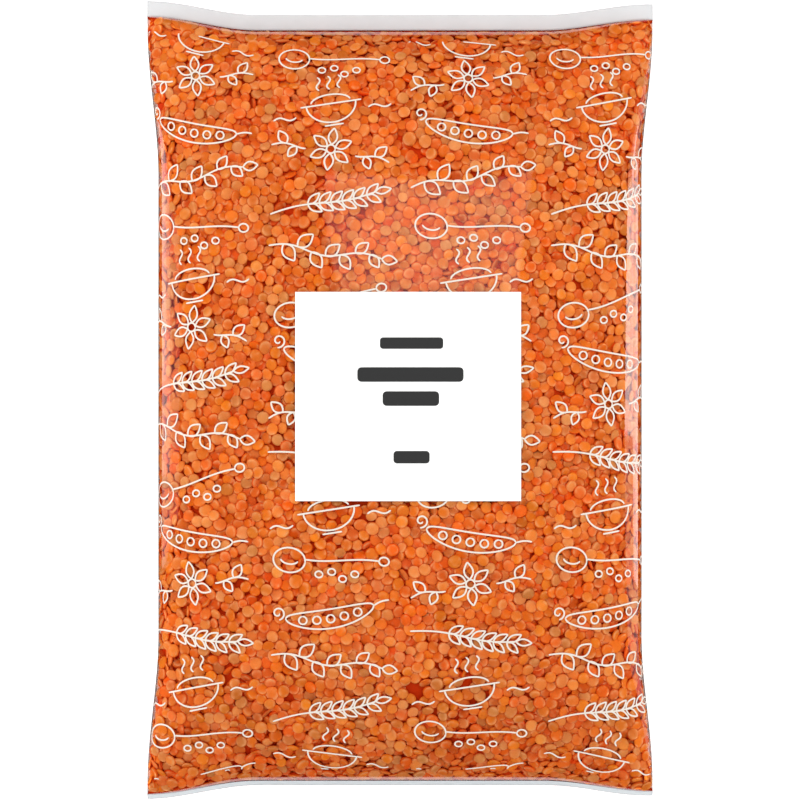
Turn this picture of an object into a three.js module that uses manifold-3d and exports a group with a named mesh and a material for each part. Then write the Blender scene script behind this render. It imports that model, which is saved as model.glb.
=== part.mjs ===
// A pillow bag of clear film, packed full of red lentils, lying on its back with its labelled face up.
// Units are millimetres, +Z is up, the bag's top seal points along +Y and the floor is z = 0.
// The origin is the middle of the bag's footprint, on the floor.
// The film is a tube with a seam down its back and a flat seal across each end. Filling pulls the
// tube in at the waist and pulls the middle of each end seal in, so the four corners stand out.

import * as THREE from 'three';
import Module from 'manifold-3d';

const wasm = await Module();
wasm.setup();

// Driving dimensions

const FLAT_WIDTH = 264; // across the end seals, where the film lies flat
const WAIST_WIDTH = 251.6; // across the filled middle
const MIDDLE_LENGTH = 391.4; // between the two seal lines, down the middle
const LEFT_CORNER_LENGTH = 405.8; // between the two seal lines, at the left corners
const RIGHT_CORNER_LENGTH = 402.6; // the same at the right corners, which are pulled in more
const THICKNESS = 80.4; // from the floor to the crown
const WAIST_HEIGHT = 35; // of the section's widest line, above the floor
const SEAL_HEIGHT = 20; // of both seal lines, above the floor
const UNDER_DEPTH = 56; // how far the underside would hang below the waist with no floor
const WEDGE_THICKNESS = 2.4; // of the contents where they stop at a seal line

const SIDE_FLARE = 78; // from a seal line back to where the sides run straight
const CORNER_FLARE = 58; // from a corner in to where the seal line runs straight
const TOP_POWER = 2.35; // roundness of the upper face across the bag: 2 is an ellipse, more is boxier
const UNDER_POWER = 2.6; // the same for the underside
const LENGTH_POWER = 2.5; // the same from end to end
const CORNER_FADE_POWER = 6; // how fast the pull on the seal lines dies away from the ends
const WAIST_DROP_POWER = 4; // how late the waist line drops to the seal height

const SEAL_WIDTH = 8.2; // of each end seal, from the seal line to the cut edge
const SEAL_THICKNESS = 0.8;
const TOP_SEAL_DROOP = 4; // degrees below level
const BOTTOM_SEAL_DROOP = 78;
const SEAM_X = -3.9; // the back seam runs just left of the middle
const SEAM_WIDTH = 11;
const SEAM_THICKNESS = 0.6;
const SEAM_END_GAP = 3; // between the seam's ends and the seal lines

const LABEL_WIDTH = 116.2;
const LABEL_HEIGHT = 107.6;
const LABEL_THICKNESS = 0.5;
const LABEL_X = 4.2;
const LABEL_Y = 1.8;

const GAP = 0.3; // kept between pieces that touch
const LENTIL_RELIEF = 0.9; // how deep the film sinks between lentils
const SETTLING = 1.2; // how high the slow swells of the settled contents stand

// How finely the surfaces are divided

const COLUMNS = 50; // across the upper face, and again across the lower one
const ROWS = 70; // from seal line to seal line
const SEAL_STEPS = 44;
const SEAM_STEPS = 48;
const LABEL_STEPS = 12;
const CURVE_STEPS = 300; // for measuring a curve that is then divided evenly
const RELIEF_SEED = 20;

// The droop of the seals, how far they reach past the seal lines, and the shift that centres the whole

const TOP_TILT = THREE.MathUtils.degToRad(TOP_SEAL_DROOP);
const BOTTOM_TILT = THREE.MathUtils.degToRad(BOTTOM_SEAL_DROOP);
const sealReach = (tilt) => GAP + SEAL_WIDTH * Math.cos(tilt) + SEAL_THICKNESS * Math.sin(tilt);
const PILLOW_Y = (sealReach(BOTTOM_TILT) - sealReach(TOP_TILT)) / 2;

const { lerp, clamp } = THREE.MathUtils;
const point = (x, y, z) => new THREE.Vector3(x, y, z);
const ease = (t) => 0.5 - 0.5 * Math.cos(Math.PI * clamp(t, 0, 1));
const rounded = (t, power) => Math.pow(1 - Math.pow(clamp(Math.abs(t), 0, 1), power), 1 / power);

// The pillow's form. v runs from -1 at the bottom seal line to 1 at the top one

function halfWidth(v) {
  const inward = (1 - Math.abs(v)) * MIDDLE_LENGTH / 2;
  return lerp(FLAT_WIDTH, WAIST_WIDTH, ease(inward / SIDE_FLARE)) / 2;
}

function sealLineReach(x) {
  const outward = Math.abs(x) - (FLAT_WIDTH / 2 - CORNER_FLARE);
  const cornerLength = x < 0 ? LEFT_CORNER_LENGTH : RIGHT_CORNER_LENGTH;
  return lerp(MIDDLE_LENGTH, cornerLength, ease(outward / CORNER_FLARE)) / 2;
}

function lengthwise(x, v) {
  const pull = sealLineReach(x) - MIDDLE_LENGTH / 2;
  return v * MIDDLE_LENGTH / 2 + Math.sign(v) * pull * Math.pow(Math.abs(v), CORNER_FADE_POWER);
}

function waistHeight(v) {
  return lerp(WAIST_HEIGHT, SEAL_HEIGHT, Math.pow(Math.abs(v), WAIST_DROP_POWER));
}

function settling(x, v) {
  const swells = Math.sin(x / 31 + 2.1 * v) + Math.sin(x / 47 + 5.3 * v + 1) + Math.sin(x / 19 - 6.1 * v + 2);
  return SETTLING * swells / 3 * rounded(v, 2) * rounded(x / halfWidth(v), 2);
}

function topHeight(x, v) {
  const crown = lerp(WEDGE_THICKNESS / 2, THICKNESS - WAIST_HEIGHT, rounded(v, LENGTH_POWER));
  return waistHeight(v) + crown * rounded(x / halfWidth(v), TOP_POWER) + settling(x, v);
}

function underHeight(x, v) {
  const hang = lerp(WEDGE_THICKNESS / 2, UNDER_DEPTH, rounded(v, LENGTH_POWER));
  return waistHeight(v) - hang * rounded(x / halfWidth(v), UNDER_POWER);
}

// Divides a curve into equal lengths. The curve is a function of t, from 0 to 1
function evenly(curve, steps) {
  const points = Array.from({ length: CURVE_STEPS + 1 }, (_, i) => curve(i / CURVE_STEPS));
  const travelled = [0];
  points.slice(1).forEach((p, i) => travelled.push(travelled[i] + p.distanceTo(points[i])));
  let i = 1;
  return Array.from({ length: steps + 1 }, (_, k) => {
    const wanted = travelled[CURVE_STEPS] * k / steps;
    while (i < CURVE_STEPS && travelled[i] < wanted) i++;
    const share = (wanted - travelled[i - 1]) / (travelled[i] - travelled[i - 1]);
    return curve((i - 1 + share) / CURVE_STEPS);
  });
}

// Joins closed loops of points into one solid, capped at both ends. Each loop turns anticlockwise
// about the way the loops advance. A pointed loop has one point at each of its two edges, and a
// square one has two.
function loft(loops, pointed) {
  const size = loops[0].length;
  const mirror = (k) => (pointed ? (size - k) % size : size - 1 - k);
  const triangles = [];
  const quad = (a, b, c, d, turned) => {
    triangles.push(...(turned ? [[a, b, d], [b, c, d]] : [[a, b, c], [a, c, d]]));
  };
  for (let j = 0; j + 1 < loops.length; j++) {
    for (let i = 0; i < size; i++) {
      const here = j * size;
      const next = (i + 1) % size;
      quad(here + i, here + next, here + size + next, here + size + i, (i + j) % 2);
    }
  }
  const end = (loops.length - 1) * size;
  for (let k = 0; k < size / 2 - (pointed ? 0 : 1); k++) {
    quad(k, mirror(k), mirror(k + 1), k + 1, false);
    quad(end + k, end + k + 1, end + mirror(k + 1), end + mirror(k), false);
  }
  const whole = triangles.filter(([a, b, c]) => a !== b && b !== c && c !== a);
  return new wasm.Manifold(new wasm.Mesh({
    numProp: 3,
    vertProperties: new Float32Array(loops.flat().flatMap((p) => p.toArray())),
    triVerts: new Uint32Array(whole.flat()),
  }));
}

// A flat strip along a path. Each frame has the strip's edge, the way across it and the way up
function strip(frames, width, low, high) {
  return loft(frames.map(({ edge, across, up }) => [[0, low], [width, low], [width, high], [0, high]]
    .map(([a, b]) => edge.clone().addScaledVector(across, a).addScaledVector(up, b))), false);
}

function block(low, high) {
  return strip([low.x, high.x].map((x) => (
    { edge: point(x, low.y, 0), across: point(0, 1, 0), up: point(0, 0, 1) }
  )), high.y - low.y, low.z, high.z);
}

// The section of the pillow at v: over the upper face from right to left, and back underneath
function section(v) {
  const half = halfWidth(v);
  const face = (height, side) => evenly((t) => {
    const x = half * side * Math.cos(Math.PI * t);
    return point(x, lengthwise(x, v), height(x, v));
  }, COLUMNS);
  return [...face(topHeight, 1), ...face(underHeight, -1).slice(1, -1)];
}

// Sinks every point of the film between its neighbours by a random share of the relief
function sunkBetweenLentils(loops) {
  let state = RELIEF_SEED;
  const random = () => {
    state = (state * 1103515245 + 12345) % 2147483648;
    return state / 2147483648;
  };
  return loops.map((loop, j) => loop.map((p, i) => {
    if (j === 0 || j === loops.length - 1) return p;
    const before = loop[(i + loop.length - 1) % loop.length];
    const after = loop[(i + 1) % loop.length];
    const inward = after.clone().sub(before).cross(loops[j - 1][i].clone().sub(loops[j + 1][i])).normalize();
    return p.clone().addScaledVector(inward, LENTIL_RELIEF * random());
  }));
}

function filledBag() {
  const stations = evenly((t) => {
    const v = Math.cos(Math.PI * t);
    return point(0, lengthwise(0, v), topHeight(0, v));
  }, ROWS).map((p) => clamp(p.y / (MIDDLE_LENGTH / 2), -1, 1));
  const pillow = loft(sunkBetweenLentils(stations.map(section)), true);
  const reach = Math.max(FLAT_WIDTH, LEFT_CORNER_LENGTH);
  const floor = block(point(-reach, -reach, -THICKNESS), point(reach, reach, 0));
  return pillow.subtract(floor).subtract(seamGroove(seamFrames()));
}

function endSeal(end, tilt) {
  const across = point(0, end * Math.cos(tilt), -Math.sin(tilt));
  const up = point(0, end * Math.sin(tilt), Math.cos(tilt));
  const clearance = GAP + SEAL_THICKNESS / 2 * Math.sin(tilt);
  const frames = Array.from({ length: SEAL_STEPS + 1 }, (_, i) => {
    const x = end * FLAT_WIDTH * (i / SEAL_STEPS - 0.5);
    return { edge: point(x, end * (sealLineReach(x) + clearance), SEAL_HEIGHT), across, up };
  });
  return strip(frames, SEAL_WIDTH, -SEAL_THICKNESS / 2, SEAL_THICKNESS / 2);
}

// The left edge of the back seam, along the underside, with the directions along, across and into the bag
function seamFrames() {
  const x = SEAM_X - SEAM_WIDTH / 2;
  const limit = 1 - SEAM_END_GAP / (MIDDLE_LENGTH / 2);
  const path = evenly((t) => {
    const v = limit * (1 - 2 * t);
    return point(x, lengthwise(x, v), Math.max(0, underHeight(x, v)));
  }, SEAM_STEPS);
  return path.map((edge, i) => {
    const along = path[Math.min(i + 1, SEAM_STEPS)].clone().sub(path[Math.max(i - 1, 0)]).normalize();
    const across = point(1, 0, 0);
    return { edge, along, across, up: along.clone().cross(across) };
  });
}

// The groove that the seam is pressed into, larger than the seam by the gap all round
function seamGroove(frames) {
  const grown = frames.map(({ edge, along, across, up }, i) => {
    const longer = i === 0 ? -GAP : i === SEAM_STEPS ? GAP : 0;
    return { edge: edge.clone().addScaledVector(across, -GAP).addScaledVector(along, longer), across, up };
  });
  return strip(grown, SEAM_WIDTH + 2 * GAP, -SEAM_THICKNESS, SEAM_THICKNESS + GAP);
}

function label() {
  const rows = Array.from({ length: LABEL_STEPS + 1 }, (_, j) => {
    const y = LABEL_Y - PILLOW_Y + LABEL_HEIGHT * (0.5 - j / LABEL_STEPS);
    const line = (lift, side) => Array.from({ length: LABEL_STEPS + 1 }, (_, i) => {
      const x = LABEL_X + side * LABEL_WIDTH * (0.5 - i / LABEL_STEPS);
      return point(x, y, topHeight(x, y / (MIDDLE_LENGTH / 2)) + lift);
    });
    return [...line(GAP + LABEL_THICKNESS, 1), ...line(GAP, -1)];
  });
  return loft(rows, false);
}

function mesh(name, solid, colour, roughness) {
  const { vertProperties, triVerts } = solid.getMesh();
  const geometry = new THREE.BufferGeometry();
  geometry.setAttribute('position', new THREE.BufferAttribute(new Float32Array(vertProperties), 3));
  geometry.setIndex(new THREE.BufferAttribute(new Uint32Array(triVerts), 1));
  const finish = { color: colour, roughness, metalness: 0, flatShading: true };
  const made = new THREE.Mesh(geometry, new THREE.MeshStandardMaterial(finish));
  made.name = name;
  made.position.y = PILLOW_Y;
  return made;
}

const LENTIL_ORANGE = 0xe06a2c;
const CLEAR_FILM = 0xdfe0e2;
const LABEL_WHITE = 0xfbfbfa;

const bag = new THREE.Group();
bag.add(mesh('filled_bag', filledBag(), LENTIL_ORANGE, 0.3));
bag.add(mesh('top_seal', endSeal(1, TOP_TILT), CLEAR_FILM, 0.25));
bag.add(mesh('bottom_seal', endSeal(-1, BOTTOM_TILT), CLEAR_FILM, 0.25));
bag.add(mesh('back_seam', strip(seamFrames(), SEAM_WIDTH, 0, SEAM_THICKNESS), CLEAR_FILM, 0.25));
bag.add(mesh('label', label(), LABEL_WHITE, 0.6));

export default bag;
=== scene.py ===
"""A clear pillow bag packed full of red lentils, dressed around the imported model. Lengths are in metres."""

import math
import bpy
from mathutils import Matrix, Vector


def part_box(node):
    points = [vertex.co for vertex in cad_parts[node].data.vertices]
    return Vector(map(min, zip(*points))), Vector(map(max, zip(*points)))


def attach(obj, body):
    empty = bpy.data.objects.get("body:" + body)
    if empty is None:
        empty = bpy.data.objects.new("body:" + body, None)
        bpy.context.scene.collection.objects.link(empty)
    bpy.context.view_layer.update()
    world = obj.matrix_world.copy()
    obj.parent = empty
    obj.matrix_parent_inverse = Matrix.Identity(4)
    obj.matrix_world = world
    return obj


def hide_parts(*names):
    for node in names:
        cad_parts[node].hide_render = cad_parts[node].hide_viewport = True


bl_info = {
    "name": "Bag of Lentils",
    "version": (1, 0, 0),
    "blender": (4, 5, 0),
    "location": "View3D > Sidebar > Lentil Bag",
    "description": "Builds a clear film bag full of red lentils around its packed model",
    "category": "Add Mesh",
}

import bpy
import numpy as np
from bpy.props import FloatProperty, FloatVectorProperty, IntProperty, PointerProperty
from mathutils import Vector

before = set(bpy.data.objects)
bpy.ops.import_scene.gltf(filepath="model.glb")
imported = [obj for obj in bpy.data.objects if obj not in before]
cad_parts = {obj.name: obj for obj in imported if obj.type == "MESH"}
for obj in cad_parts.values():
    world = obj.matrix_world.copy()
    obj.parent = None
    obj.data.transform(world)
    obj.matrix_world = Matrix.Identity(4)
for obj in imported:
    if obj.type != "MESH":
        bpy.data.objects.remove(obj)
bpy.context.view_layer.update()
BAG_LOW, BAG_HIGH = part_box("filled_bag")
LABEL_LOW, LABEL_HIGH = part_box("label")
SEAM_LOW, SEAM_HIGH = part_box("back_seam")

MM = 0.001
BODY = "root"
PALEST_TONE_AND_HIGHLIGHT = (0.98, 0.50, 0.21)  # of all lentils, and the colour of the painted highlight round a lentil's face
DEPTH_SHADE = (0.94, 0.48, 0.26)  # painted shade: how a lentil's colour is dimmed and reddened where it lies deep
MOTTLED = (0.82, 0.66, 0.50)  # the same in the darker spots of its skin
RIM_SHADE = (0.92, 0.34, 0.12)  # the same, as painted shade, at its rim and underneath
# painted shade: the core's colours are darker and redder than any lentil's, for the shade in the gaps
CORE_SHADE_COLOURS = (0.76, 0.055, 0.003), (0.62, 0.038, 0.002)
SEAM_TONE = (0.62, 0.63, 0.65)
PINCH = 0.1  # height left where film and contents close at a seal line, as a share


# Sizes and colours that a user may change


def length(name, description, default):
    return FloatProperty(
        name=name, description=description, default=default, min=0, precision=4, unit="LENGTH"
    )


def amount(name, description, default):
    return FloatProperty(name=name, description=description, default=default, min=0)


def colour(name, description, default):
    return FloatVectorProperty(
        name=name, description=description, default=default, min=0, max=1, subtype="COLOR"
    )


class FormSettings(bpy.types.PropertyGroup):
    flat_width: length("Flat width", "Of the film, flat across the end seals", BAG_HIGH.x - BAG_LOW.x)
    waist_width: length("Waist width", "Across the filled middle", 251.6 * MM)
    middle_length: length("Middle length", "Between the seal lines, down the middle", 391.4 * MM)
    left_corner_length: length("Left corner length", "The same at the left corners", 405.8 * MM)
    right_corner_length: length("Right corner length", "The same at the right corners", 402.6 * MM)
    thickness: length("Thickness", "From the floor to the crown", 80.4 * MM)
    waist_height: length("Waist height", "Of the widest line of the section above the floor", 35 * MM)
    seal_height: length("Seal height", "Of both seal lines above the floor", 20 * MM)
    under_depth: length("Under depth", "How far the underside would hang below the waist", 56 * MM)
    wedge_thickness: length("Wedge thickness", "Of the contents at a seal line", 2.4 * MM)
    side_flare: length("Side flare", "From a seal line back to where the sides run straight", 78 * MM)
    corner_flare: length("Corner flare", "From a corner in to where the seal line runs straight", 58 * MM)
    settling: length("Settling", "How high the slow swells of the contents stand", 1.2 * MM)


class LentilSettings(bpy.types.PropertyGroup):
    diameter: length("Diameter", "Across a middling lentil", 6.7 * MM)
    plumpness: amount("Plumpness", "Thickness over diameter", 0.37)
    cover: amount("Cover", "Lentils' area in the outer layer over the film's", 1.28)
    lower_cover: amount("Lower cover", "The same in the layer under it", 0.66)
    lower_depth: length("Lower depth", "From the outer layer down to the one under it", 2.3 * MM)
    core_depth: length("Core depth", "From the film to the packed mass, where the film is level", 4.6 * MM)
    side_depth: length("Side depth", "The same where the film stands upright", 2.4 * MM)
    seed: IntProperty(name="Seed", description="Starts the random draws", default=11)
    bright: colour("Bright", "Of the common lentil", (0.93, 0.215, 0.012))
    amber: colour("Amber", "Of the yellower lentil", (0.94, 0.270, 0.015))
    deep: colour("Deep", "Of the redder lentil", (0.93, 0.170, 0.008))
    peach: colour("Peach", "Of the paler lentil", (0.96, 0.330, 0.060))
    dull: colour("Dull", "Of the brownish lentil with a grey bloom", (0.82, 0.330, 0.085))
    halved: colour("Halved", "Of the cut face of a split lentil", (0.94, 0.255, 0.018))


class PrintSettings(bpy.types.PropertyGroup):
    ink: colour("Ink", "Of the print on the film", (0.70, 0.64, 0.56))
    line_width: length("Line width", "Of a printed line", 0.88 * MM)
    row_pitch: length("Row pitch", "From one row of motifs to the next", 26.5 * MM)
    motif_pitch: length("Motif pitch", "From one motif to the next in a row", 68 * MM)


class LabelSettings(bpy.types.PropertyGroup):
    paper: colour("Paper", "Of the label", (0.93, 0.93, 0.92))
    ink: colour("Ink", "Of the bars on the label", (0.030, 0.030, 0.030))


class StageSettings(bpy.types.PropertyGroup):
    camera_height: length("Camera height", "Above the floor", 4)
    frame_width: length("Frame width", "What the camera sees across, at the waist's height", 416 * MM)
    floor: colour("Floor", "Of the surface that the bag lies on", (0.6, 0.6, 0.6))
    floor_glow: amount("Floor glow", "How far the floor is bleached", 0.75)
    surroundings: amount("Surroundings", "Light from all round", 1.13)
    key_power: amount("Key power", "Of the main light, in watts", 30)
    right_power: amount("Right power", "Of the light at the right, in watts", 4.5)
    left_power: amount("Left power", "Of the light at the left, in watts", 8)


# Shader maths


class Value:
    """A shader socket that can be used in arithmetic, which adds the Math nodes it needs."""

    def __init__(self, shader, socket):
        self.shader = shader
        self.socket = socket

    def maths(self, operation, *terms):
        return self.shader.add("ShaderNodeMath", {"operation": operation}, *terms)

    def __add__(self, other):
        return self.maths("ADD", self, other)

    def __sub__(self, other):
        return self.maths("SUBTRACT", self, other)

    def __rsub__(self, other):
        return self.maths("SUBTRACT", other, self)

    def __mul__(self, other):
        return self.maths("MULTIPLY", self, other)

    def __truediv__(self, other):
        return self.maths("DIVIDE", self, other)

    def __pow__(self, power):
        return self.maths("POWER", self, power)

    __radd__ = __add__
    __rmul__ = __mul__

    def clamped(self, low=0.0, high=1.0):
        return self.maths("MINIMUM", self.maths("MAXIMUM", self, low), high)


class Shader:
    """A material being written. Its add method adds any kind of node but the colour mix."""

    FACTOR = 2  # an output of the Attribute node
    OBJECT = 3  # an output of the Texture Coordinate node

    def __init__(self, name):
        self.material = bpy.data.materials.new(name)
        self.material.use_nodes = True
        self.tree = self.material.node_tree
        self.tree.nodes.clear()

    def add(self, kind, settings=None, *values, output=0, **named):
        """A node of that kind with its settings, then its sockets in order, then those given by name."""
        node = self.tree.nodes.new(kind)
        for key, setting in (settings or {}).items():
            setattr(node, key, setting)
        sockets = list(zip(node.inputs, values))
        sockets += [(node.inputs[key.replace("_", " ")], value) for key, value in named.items()]
        for socket, value in sockets:
            if isinstance(value, Value):
                self.tree.links.new(value.socket, socket)
            elif value is not None:
                socket.default_value = value
        return Value(self, node.outputs[output])

    def noise(self, scale, detail=2.0, roughness=0.5):
        place = self.add("ShaderNodeTexCoord", output=self.OBJECT)
        return self.add("ShaderNodeTexNoise", Vector=place, Scale=scale, Detail=detail, Roughness=roughness)

    def bump(self, height, strength, distance):
        return self.add("ShaderNodeBump", Height=height, Strength=strength, Distance=distance)

    def finish(self, surface):
        output = self.tree.nodes.new("ShaderNodeOutputMaterial")
        self.tree.links.new(surface.socket, output.inputs["Surface"])
        return self.material

    def coated(self, **sockets):
        """The finished material, with one Principled surface."""
        return self.finish(self.add("ShaderNodeBsdfPrincipled", **sockets))

    def blend(self, factor, first, second, mode="MIX"):
        """The two colours, mixed."""
        node = self.tree.nodes.new("ShaderNodeMix")
        node.data_type = "RGBA"
        node.blend_type = mode
        for name, value in (("Factor_Float", factor), ("A_Color", first), ("B_Color", second)):
            socket = next(s for s in node.inputs if s.identifier == name)
            if isinstance(value, Value):
                self.tree.links.new(value.socket, socket)
            else:
                socket.default_value = value
        return Value(self, next(s for s in node.outputs if s.identifier == "Result_Color"))


def rgba(colour, shade=1.0):
    return (colour[0] * shade, colour[1] * shade, colour[2] * shade, 1.0)


def lentil_skin():
    """Satin skin in each lentil's tint, mottled, with pale patches of painted highlight round its face and a
    redder rim of painted shade.
    """
    shader = Shader("lentil_skin")
    tint = shader.add("ShaderNodeAttribute", {"attribute_name": "tint"})
    edge = shader.add("ShaderNodeAttribute", {"attribute_name": "edge"}, output=shader.FACTOR)
    mottle = shader.noise(scale=420.0, detail=3.0, roughness=0.6)
    patches = shader.noise(scale=260.0, detail=1.0)
    darker = ((mottle - 0.5) * 0.9 + 0.12).clamped()
    # painted highlight: pale patches round each lentil's face, standing for its lit edges
    pale_edge_highlight = ((patches - 0.44) * 5.0).clamped() * (edge.clamped() ** 2.0) * 0.8
    # painted shade: redder and darker from the rim down
    painted_rim_shade = (edge * -0.85).clamped()
    base = shader.blend(darker, tint, shader.blend(1.0, tint, rgba(MOTTLED), "MULTIPLY"))
    base = shader.blend(painted_rim_shade, base, shader.blend(1.0, tint, rgba(RIM_SHADE), "MULTIPLY"))
    base = shader.blend(pale_edge_highlight, base, rgba(PALEST_TONE_AND_HIGHLIGHT))
    gloss = (mottle * 0.25 + 0.36).clamped()
    grain = shader.bump(shader.noise(scale=1900.0), strength=0.25, distance=0.15 * MM)
    return shader.coated(Base_Color=base, Roughness=gloss, Normal=grain, Specular_IOR_Level=0.12)


def core_stuff():
    """The mass between the lentils, in painted shade: darker and redder than a lentil."""
    shader = Shader("lentil_depth")
    place = shader.add("ShaderNodeTexCoord", output=shader.OBJECT)
    cells = shader.add("ShaderNodeTexVoronoi", Vector=place, Scale=170.0)
    base = shader.blend(cells, *(rgba(colour) for colour in CORE_SHADE_COLOURS))
    return shader.coated(Base_Color=base, Roughness=0.8, Specular_IOR_Level=0.1)


def clear_film():
    """Glossy film that shows what is under it, and mirrors more at a glancing angle."""
    shader = Shader("clear_film_skin")
    glance = shader.add("ShaderNodeFresnel", IOR=1.5)
    both_faces = glance * 2.0 / (glance + 1.0)
    crinkle = shader.noise(scale=95.0, detail=3.0, roughness=0.55)
    gloss = shader.add(
        "ShaderNodeBsdfPrincipled",
        Base_Color=rgba((0.95, 0.95, 0.95)),
        Metallic=1.0,
        Roughness=(crinkle * 0.06 + 0.02).clamped(),
        Normal=shader.bump(crinkle, strength=0.05, distance=0.5 * MM),
    )
    clear = shader.add("ShaderNodeBsdfTransparent", Color=rgba((0.99, 0.99, 0.985)))
    return shader.finish(shader.add("ShaderNodeMixShader", None, both_faces.clamped(high=0.75), clear, gloss))


def welded_film(name, tone, cover):
    """Layers of film welded flat: a pale grey veil with a glossy face."""
    shader = Shader(name)
    ripple = shader.noise(scale=130.0, detail=3.0)
    shade = shader.blend(ripple, rgba(tone, shade=0.95), rgba(tone, shade=1.05))
    bump = shader.bump(ripple, strength=0.1, distance=0.4 * MM)
    return shader.coated(Base_Color=shade, Roughness=0.22, Alpha=cover, Normal=bump)


def ink(name, colour, roughness):
    """Opaque ink, very slightly uneven."""
    shader = Shader(name)
    base = shader.blend(shader.noise(scale=900.0), rgba(colour, shade=0.93), rgba(colour))
    return shader.coated(Base_Color=base, Roughness=roughness)


def label_paper(colour):
    """Coated white paper with a fine tooth."""
    shader = Shader("label_stock")
    fibre = shader.noise(scale=1500.0, detail=4.0, roughness=0.7)
    base = shader.blend(fibre, rgba(colour, shade=0.985), rgba(colour))
    tooth = shader.bump(fibre, strength=0.06, distance=0.1 * MM)
    return shader.coated(Base_Color=base, Roughness=0.5, Normal=tooth)


def floor_surface(colour, glow):
    """Pale seamless card, lit from below so that it bleaches out."""
    shader = Shader("pale_card")
    base = shader.blend(shader.noise(scale=60.0, detail=3.0), rgba(colour, shade=0.99), rgba(colour))
    white = rgba((1.0, 1.0, 1.0))
    return shader.coated(
        Base_Color=base, Roughness=0.9, Specular_IOR_Level=0.1, Emission_Color=white, Emission_Strength=glow
    )


# Meshes


def make_piece(name, vertices, faces, material, slot, smooth=True, replaced=()):
    """A piece of the object from its points, in any grid, and its faces. It rides on the bag's one body."""
    mesh = bpy.data.meshes.new(name)
    mesh.from_pydata(np.reshape(vertices, (-1, 3)).tolist(), [], faces.tolist(), shade_flat=not smooth)
    mesh.validate()
    mesh.materials.append(material)
    piece = bpy.data.objects.new(name, mesh)
    bpy.context.scene.collection.objects.link(piece)
    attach(piece, BODY)
    if replaced:
        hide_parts(*replaced)
    return piece


def ease(t):
    return 0.5 - 0.5 * np.cos(np.pi * np.clip(t, 0, 1))


def rounded(t, power):
    return (1 - np.clip(np.abs(t), 0, 1) ** power) ** (1 / power)


def mix(a, b, t):
    return a + (b - a) * t


def unit(vectors):
    return vectors / np.linalg.norm(vectors, axis=-1, keepdims=True)


class Pillow:
    """The filled bag's form, as its solid has it. v is -1 at the bottom seal line and 1 at the top one."""

    TOP_POWER = 2.35
    UNDER_POWER = 2.6
    LENGTH_POWER = 2.5
    CORNER_FADE_POWER = 6
    WAIST_DROP_POWER = 4

    def __init__(self, form):
        self.form = form
        self.shift = (BAG_LOW.y + BAG_HIGH.y) / 2

    def half_width(self, v):
        inward = (1 - np.abs(v)) * self.form.middle_length / 2
        return mix(self.form.flat_width, self.form.waist_width, ease(inward / self.form.side_flare)) / 2

    def seal_line_reach(self, x):
        form = self.form
        outward = np.abs(x) - (form.flat_width / 2 - form.corner_flare)
        corner_length = np.where(x < 0, form.left_corner_length, form.right_corner_length)
        return mix(form.middle_length, corner_length, ease(outward / form.corner_flare)) / 2

    def lengthwise(self, x, v):
        straight = self.form.middle_length / 2
        pull = self.seal_line_reach(x) - straight
        return v * straight + np.sign(v) * pull * np.abs(v) ** self.CORNER_FADE_POWER

    def waist(self, v):
        return mix(self.form.waist_height, self.form.seal_height, np.abs(v) ** self.WAIST_DROP_POWER)

    def swell(self, x, v):
        mm = x / MM
        swells = np.sin(mm / 31 + 2.1 * v) + np.sin(mm / 47 + 5.3 * v + 1) + np.sin(mm / 19 - 6.1 * v + 2)
        return self.form.settling * swells / 3 * rounded(v, 2) * rounded(x / self.half_width(v), 2)

    def top(self, x, v):
        form = self.form
        full = form.thickness - form.waist_height
        rise = mix(form.wedge_thickness / 2, full, rounded(v, self.LENGTH_POWER))
        return self.waist(v) + rise * rounded(x / self.half_width(v), self.TOP_POWER) + self.swell(x, v)

    def under(self, x, v):
        hang = mix(self.form.wedge_thickness / 2, self.form.under_depth, rounded(v, self.LENGTH_POWER))
        low = self.waist(v) - hang * rounded(x / self.half_width(v), self.UNDER_POWER)
        return np.maximum(low, 0)

    def point(self, x, v, height):
        return np.stack([x, self.lengthwise(x, v) + self.shift, height], -1)


def lengths_along(points):
    """The distance travelled to each point of a line, or of each line in a stack of them."""
    steps = np.linalg.norm(np.diff(points, axis=-2), axis=-1)
    start = np.zeros(steps.shape[:-1] + (1,))
    return np.concatenate([start, np.cumsum(steps, axis=-1)], axis=-1)


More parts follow.
